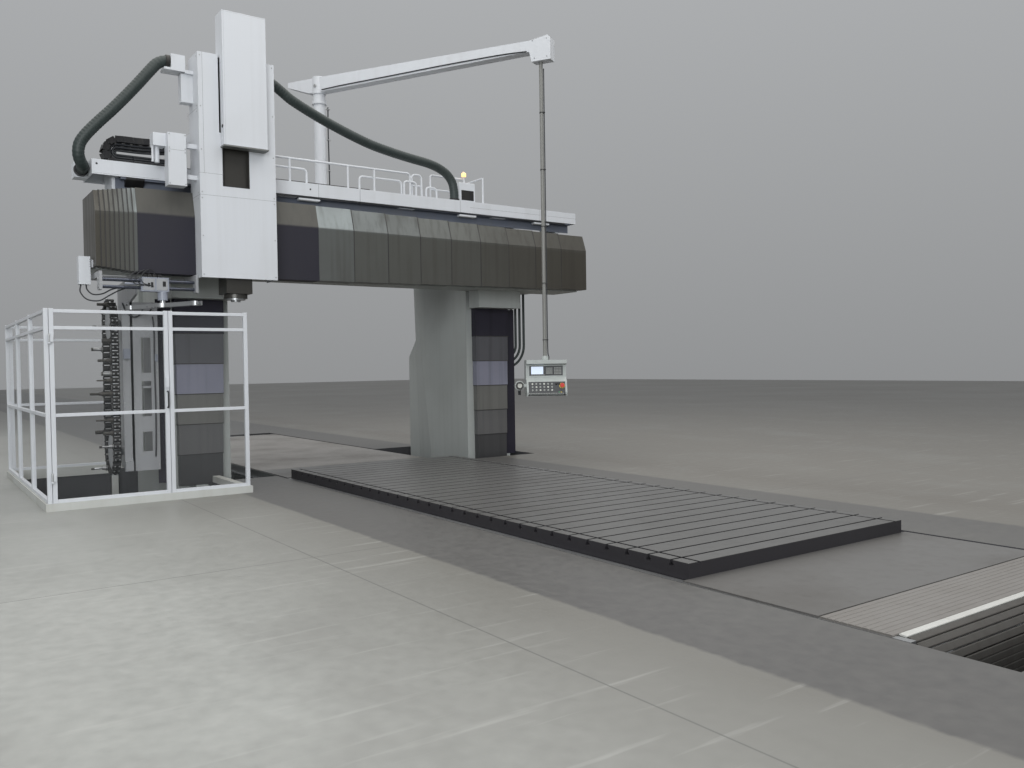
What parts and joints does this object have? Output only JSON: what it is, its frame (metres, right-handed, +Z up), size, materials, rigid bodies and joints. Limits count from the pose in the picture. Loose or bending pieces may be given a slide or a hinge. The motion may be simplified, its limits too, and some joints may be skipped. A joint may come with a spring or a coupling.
{
  "type": "machining_center",
  "caption": "Bridge-type machining centre with a travelling T-slotted table in a floor pit, a vertical ram on a crossrail, a chain tool magazine behind a fence and a hanging pendant",
  "frame": {"origin": "Underside of the centre levelling pad: on the machine centre line, in line with the front plane of the columns, on the pit floor. The shop floor is 1.25 m above it.", "axes": "+X right along the crossrail, +Y back along the table travel, +Z up"},
  "size_m": [9.055, 18.9846, 8.0903],
  "materials": {
    "white_paint": "satin light bluish-grey machine paint",
    "grey_green_paint": "light grey-green casting paint",
    "olive_grey_sheet": "dark olive-grey sheet steel cover",
    "dark_sheet": "dark navy painted sheet",
    "steel": "plain and ground steel",
    "machined_iron": "machined grey cast iron, oiled",
    "apron_steel": "link apron slats, worn steel",
    "black_oxide": "blackened steel chain and pots",
    "hose_rubber": "dark corrugated hose",
    "black_plastic": "black hand wheel",
    "red_plastic": "stop button"
  },
  "bodies": {
    "base": {"levelling_pads": "steel", "bed_front": "grey_green_paint", "bed_middle": "grey_green_paint", "bed_rear": "grey_green_paint", "trench_rails": "steel", "apron_front": "apron_steel", "apron_rear": "apron_steel", "table_drive": "grey_green_paint", "column_left": "grey_green_paint", "column_right": "grey_green_paint", "top_beam": "white_paint", "lift_drives": "grey_green_paint", "column_cover_6": "steel", "column_hoses": "hose_rubber", "jib_mast": "white_paint", "kerb_frame": "grey_green_paint", "fence": "white_paint"},
    "table_body": {"table": "machined_iron", "end_plates": "machined_iron"},
    "pinion": {"table_pinion": "steel"},
    "front_roller": {"roller_front": "steel"},
    "rear_roller": {"roller_rear": "steel"},
    "left_lift_screw": {"lift_screw_left": "steel"},
    "right_lift_screw": {"lift_screw_right": "steel"},
    "crossrail_body": {"crossrail": "grey_green_paint", "end_covers": "olive_grey_sheet", "walkway": "white_paint", "handrails": "white_paint", "column_cover_1": "dark_sheet", "magazine_frame": "grey_green_paint", "tool_chain": "black_oxide", "cutting_tools": "steel", "saddle_cables": "hose_rubber"},
    "traverse_screw_body": {"traverse_screw": "steel"},
    "saddle_body": {"saddle": "grey_green_paint", "saddle_housing": "white_paint", "saddle_wings": "dark_sheet"},
    "ram_body": {"ram": "steel", "ram_cover": "white_paint"},
    "ram_screw_body": {"ram_screw": "steel"},
    "spindle_body": {"spindle": "steel"},
    "carriage_body": {"tool_carriage": "grey_green_paint"},
    "arm_body": {"change_arm": "steel"},
    "boom_body": {"jib_boom": "white_paint"},
    "pendant_body": {"pendant": "white_paint"},
    "stop_button_body": {"stop_button": "red_plastic"},
    "hand_wheel_body": {"hand_wheel": "black_plastic"},
    "door_body": {"fence_door": "white_paint"},
    "column_stage_2": {"column_cover_2": "steel"},
    "column_stage_3": {"column_cover_3": "steel"},
    "column_stage_4": {"column_cover_4": "steel"},
    "column_stage_5": {"column_cover_5": "olive_grey_sheet"},
    "way_stage_1": {"way_cover_1": "olive_grey_sheet"},
    "way_stage_2": {"way_cover_2": "olive_grey_sheet"},
    "way_stage_3": {"way_cover_3": "steel"},
    "way_stage_4": {"way_cover_4": "steel"},
    "way_stage_5": {"way_cover_5": "steel"},
    "way_stage_6": {"way_cover_6": "steel"},
    "way_stage_7": {"way_cover_7": "steel"},
    "way_stage_8": {"way_cover_8": "steel"}
  },
  "joints": [
    {"name": "table_slide", "type": "slide", "parent": "base", "child": "table_body", "axis": [0, 1, 0], "range_m": [0, 7.2], "deforming": ["apron_front", "apron_rear"]},
    {"name": "pinion_spin", "type": "hinge", "parent": "base", "child": "pinion", "pos_m": [0, 0, 0.938], "axis": [1, 0, 0], "continuous": true},
    {"name": "front_roller_spin", "type": "hinge", "parent": "base", "child": "front_roller", "pos_m": [0, -10.45, 1.0317], "axis": [1, 0, 0], "continuous": true},
    {"name": "rear_roller_spin", "type": "hinge", "parent": "base", "child": "rear_roller", "pos_m": [0, 8.1, 1.0317], "axis": [1, 0, 0], "continuous": true},
    {"name": "crossrail_slide", "type": "slide", "parent": "base", "child": "crossrail_body", "axis": [0, 0, -1], "range_m": [0, 1.2], "deforming": ["column_hoses"]},
    {"name": "left_screw_spin", "type": "hinge", "parent": "base", "child": "left_lift_screw", "pos_m": [-2.615, -0.045, 1.25], "axis": [0, 0, 1], "continuous": true},
    {"name": "right_screw_spin", "type": "hinge", "parent": "base", "child": "right_lift_screw", "pos_m": [2.615, -0.045, 1.25], "axis": [0, 0, 1], "continuous": true},
    {"name": "saddle_slide", "type": "slide", "parent": "crossrail_body", "child": "saddle_body", "axis": [1, 0, 0], "range_m": [0, 4.76], "deforming": ["saddle_cables"]},
    {"name": "traverse_screw_spin", "type": "hinge", "parent": "crossrail_body", "child": "traverse_screw_body", "pos_m": [0, -0.8223, 4.76], "axis": [1, 0, 0], "continuous": true},
    {"name": "ram_slide", "type": "slide", "parent": "saddle_body", "child": "ram_body", "axis": [0, 0, -1], "range_m": [0, 1]},
    {"name": "ram_screw_spin", "type": "hinge", "parent": "saddle_body", "child": "ram_screw_body", "pos_m": [-2.1, -1.12, 6.25], "axis": [0, 0, 1], "continuous": true},
    {"name": "spindle_spin", "type": "hinge", "parent": "ram_body", "child": "spindle_body", "pos_m": [-2.38, -1.12, 3.95], "axis": [0, 0, 1], "continuous": true},
    {"name": "carriage_slide", "type": "slide", "parent": "crossrail_body", "child": "carriage_body", "axis": [1, 0, 0], "range_m": [0, 0.338]},
    {"name": "change_arm_turn", "type": "hinge", "parent": "carriage_body", "child": "arm_body", "pos_m": [-3.36, -1.12, 3.767], "axis": [0, 0, 1], "range_deg": [0, 245]},
    {"name": "boom_turn", "type": "hinge", "parent": "base", "child": "boom_body", "pos_m": [0, 1.39, 7.94], "axis": [0, 0, 1], "range_deg": [-50, 5]},
    {"name": "pendant_turn", "type": "hinge", "parent": "boom_body", "child": "pendant_body", "pos_m": [2.15, -2.33391, 2.69], "axis": [0, 0, 1], "range_deg": [-120, 120]},
    {"name": "stop_button_press", "type": "slide", "parent": "pendant_body", "child": "stop_button_body", "axis": [0.486, 0.8417, -0.2351], "range_m": [0, 0.005], "stiffness_N_per_m": 800, "springref_m": -0.004},
    {"name": "hand_wheel_turn", "type": "hinge", "parent": "pendant_body", "child": "hand_wheel_body", "pos_m": [1.70261, -2.24881, 2.575], "axis": [0.5, 0.866, 0], "continuous": true},
    {"name": "door_hinge", "type": "hinge", "parent": "base", "child": "door_body", "pos_m": [-4.827, -1.872, 2.45], "axis": [0, 0, 1], "range_deg": [-110, 0]},
    {"name": "column_cover_2_slide", "type": "slide", "parent": "base", "child": "column_stage_2", "axis": [0, 0, -1], "range_m": [0, 0.96]},
    {"name": "column_cover_3_slide", "type": "slide", "parent": "base", "child": "column_stage_3", "axis": [0, 0, -1], "range_m": [0, 0.72]},
    {"name": "column_cover_4_slide", "type": "slide", "parent": "base", "child": "column_stage_4", "axis": [0, 0, -1], "range_m": [0, 0.48]},
    {"name": "column_cover_5_slide", "type": "slide", "parent": "base", "child": "column_stage_5", "axis": [0, 0, -1], "range_m": [0, 0.24]},
    {"name": "way_cover_1_slide", "type": "slide", "parent": "crossrail_body", "child": "way_stage_1", "axis": [1, 0, 0], "range_m": [0, 4.2313]},
    {"name": "way_cover_2_slide", "type": "slide", "parent": "crossrail_body", "child": "way_stage_2", "axis": [1, 0, 0], "range_m": [0, 3.7024]},
    {"name": "way_cover_3_slide", "type": "slide", "parent": "crossrail_body", "child": "way_stage_3", "axis": [1, 0, 0], "range_m": [0, 3.1735]},
    {"name": "way_cover_4_slide", "type": "slide", "parent": "crossrail_body", "child": "way_stage_4", "axis": [1, 0, 0], "range_m": [0, 2.6446]},
    {"name": "way_cover_5_slide", "type": "slide", "parent": "crossrail_body", "child": "way_stage_5", "axis": [1, 0, 0], "range_m": [0, 2.1158]},
    {"name": "way_cover_6_slide", "type": "slide", "parent": "crossrail_body", "child": "way_stage_6", "axis": [1, 0, 0], "range_m": [0, 1.5869]},
    {"name": "way_cover_7_slide", "type": "slide", "parent": "crossrail_body", "child": "way_stage_7", "axis": [1, 0, 0], "range_m": [0, 1.058]},
    {"name": "way_cover_8_slide", "type": "slide", "parent": "crossrail_body", "child": "way_stage_8", "axis": [1, 0, 0], "range_m": [0, 0.5291]}
  ],
  "couplings": [
    {"joint": "pinion_spin", "follows": "table_slide", "rad_per_m": -8.3333},
    {"joint": "front_roller_spin", "follows": "table_slide", "rad_per_m": -5},
    {"joint": "rear_roller_spin", "follows": "table_slide", "rad_per_m": -5},
    {"joint": "left_screw_spin", "follows": "crossrail_slide", "rad_per_m": 157.08},
    {"joint": "right_screw_spin", "follows": "crossrail_slide", "rad_per_m": -157.08},
    {"joint": "traverse_screw_spin", "follows": "saddle_slide", "rad_per_m": 157.08},
    {"joint": "ram_screw_spin", "follows": "ram_slide", "rad_per_m": 157.08},
    {"joint": "column_cover_2_slide", "follows": "crossrail_slide", "ratio": 0.8},
    {"joint": "column_cover_3_slide", "follows": "crossrail_slide", "ratio": 0.6},
    {"joint": "column_cover_4_slide", "follows": "crossrail_slide", "ratio": 0.4},
    {"joint": "column_cover_5_slide", "follows": "crossrail_slide", "ratio": 0.2},
    {"joint": "way_cover_1_slide", "follows": "saddle_slide", "ratio": 0.88889},
    {"joint": "way_cover_2_slide", "follows": "saddle_slide", "ratio": 0.77778},
    {"joint": "way_cover_3_slide", "follows": "saddle_slide", "ratio": 0.66667},
    {"joint": "way_cover_4_slide", "follows": "saddle_slide", "ratio": 0.55556},
    {"joint": "way_cover_5_slide", "follows": "saddle_slide", "ratio": 0.44444},
    {"joint": "way_cover_6_slide", "follows": "saddle_slide", "ratio": 0.33333},
    {"joint": "way_cover_7_slide", "follows": "saddle_slide", "ratio": 0.22222},
    {"joint": "way_cover_8_slide", "follows": "saddle_slide", "ratio": 0.11111}
  ]
}
